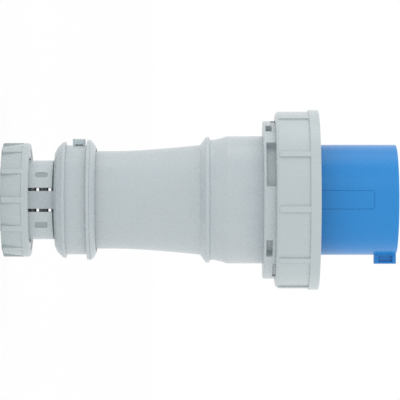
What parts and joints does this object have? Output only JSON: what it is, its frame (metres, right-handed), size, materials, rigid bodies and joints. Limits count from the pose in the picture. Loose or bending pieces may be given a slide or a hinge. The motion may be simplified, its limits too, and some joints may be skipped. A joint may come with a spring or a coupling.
{
  "type": "industrial pin and sleeve plug",
  "caption": "Cable plug with recessed round pins in a keyed round shroud, a bayonet coupling ring, a tapered housing and a clamping cable gland.",
  "frame": {"origin": "centre of the flat cable end of the gland nut, on the plug's axis", "axes": "+Z along the axis from the cable end to the pins; +X towards the key on the shroud and the earth pin"},
  "size_m": [0.115, 0.115, 0.2511],
  "materials": {
    "grey_plastic": "fine moulded satin",
    "light_plastic": "fine moulded satin",
    "jaw_plastic": "fine moulded satin",
    "dark_plastic": "fine moulded satin",
    "slip_plastic": "smooth",
    "insert_plastic": "moulded thermoset",
    "blue_plastic": "fine moulded satin",
    "rubber": "moulded",
    "brass": "turned",
    "screw_steel": "zinc plated"
  },
  "bodies": {
    "root": {"housing": "grey_plastic", "rear_cover": "grey_plastic", "cable_seal": "rubber", "cover_seal": "rubber", "face_gasket": "rubber", "contact_carrier": "blue_plastic", "carrier_seal": "rubber", "carrier_screws": "screw_steel", "terminal_insert": "insert_plastic", "insert_screws": "screw_steel", "pin_earth": "brass", "pin_line": "brass", "pin_neutral": "brass", "pin_pilot": "brass", "terminal_screws": "screw_steel"},
    "coupling_ring": {"coupling_ring": "light_plastic"},
    "gland_cone": {"pressure_ring": "slip_plastic"},
    "gland_nut": {"gland_nut": "light_plastic"},
    "jaw_key_side": {"clamp_jaw_key_side": "jaw_plastic"},
    "jaw_lock_side": {"clamp_jaw_lock_side": "jaw_plastic"},
    "lock_slide": {"lock_slide": "dark_plastic"}
  },
  "joints": [
    {"name": "ring_turn", "type": "hinge", "parent": "root", "child": "coupling_ring", "pos_m": [0, 0, 0.187], "axis": [0, 0, 1], "continuous": true},
    {"name": "gland_travel", "type": "slide", "parent": "root", "child": "gland_cone", "axis": [0, 0, 1], "range_m": [0, 0.003]},
    {"name": "gland_turn", "type": "hinge", "parent": "gland_cone", "child": "gland_nut", "pos_m": [0, 0, 0.009], "axis": [0, 0, 1], "range_deg": [0, 360]},
    {"name": "jaw_key_side_close", "type": "slide", "parent": "root", "child": "jaw_key_side", "axis": [-1, 0, 0], "range_m": [0, 0.0015]},
    {"name": "jaw_lock_side_close", "type": "slide", "parent": "root", "child": "jaw_lock_side", "axis": [1, 0, 0], "range_m": [0, 0.0015]},
    {"name": "lock_slide_travel", "type": "slide", "parent": "root", "child": "lock_slide", "axis": [0, 0, -1], "range_m": [0, 0.0032]}
  ],
  "couplings": [
    {"joint": "gland_travel", "follows": "gland_turn", "m_per_rad": 0.00047746},
    {"joint": "jaw_key_side_close", "follows": "gland_turn", "m_per_rad": 0.00023873},
    {"joint": "jaw_lock_side_close", "follows": "gland_turn", "m_per_rad": 0.00023873}
  ]
}
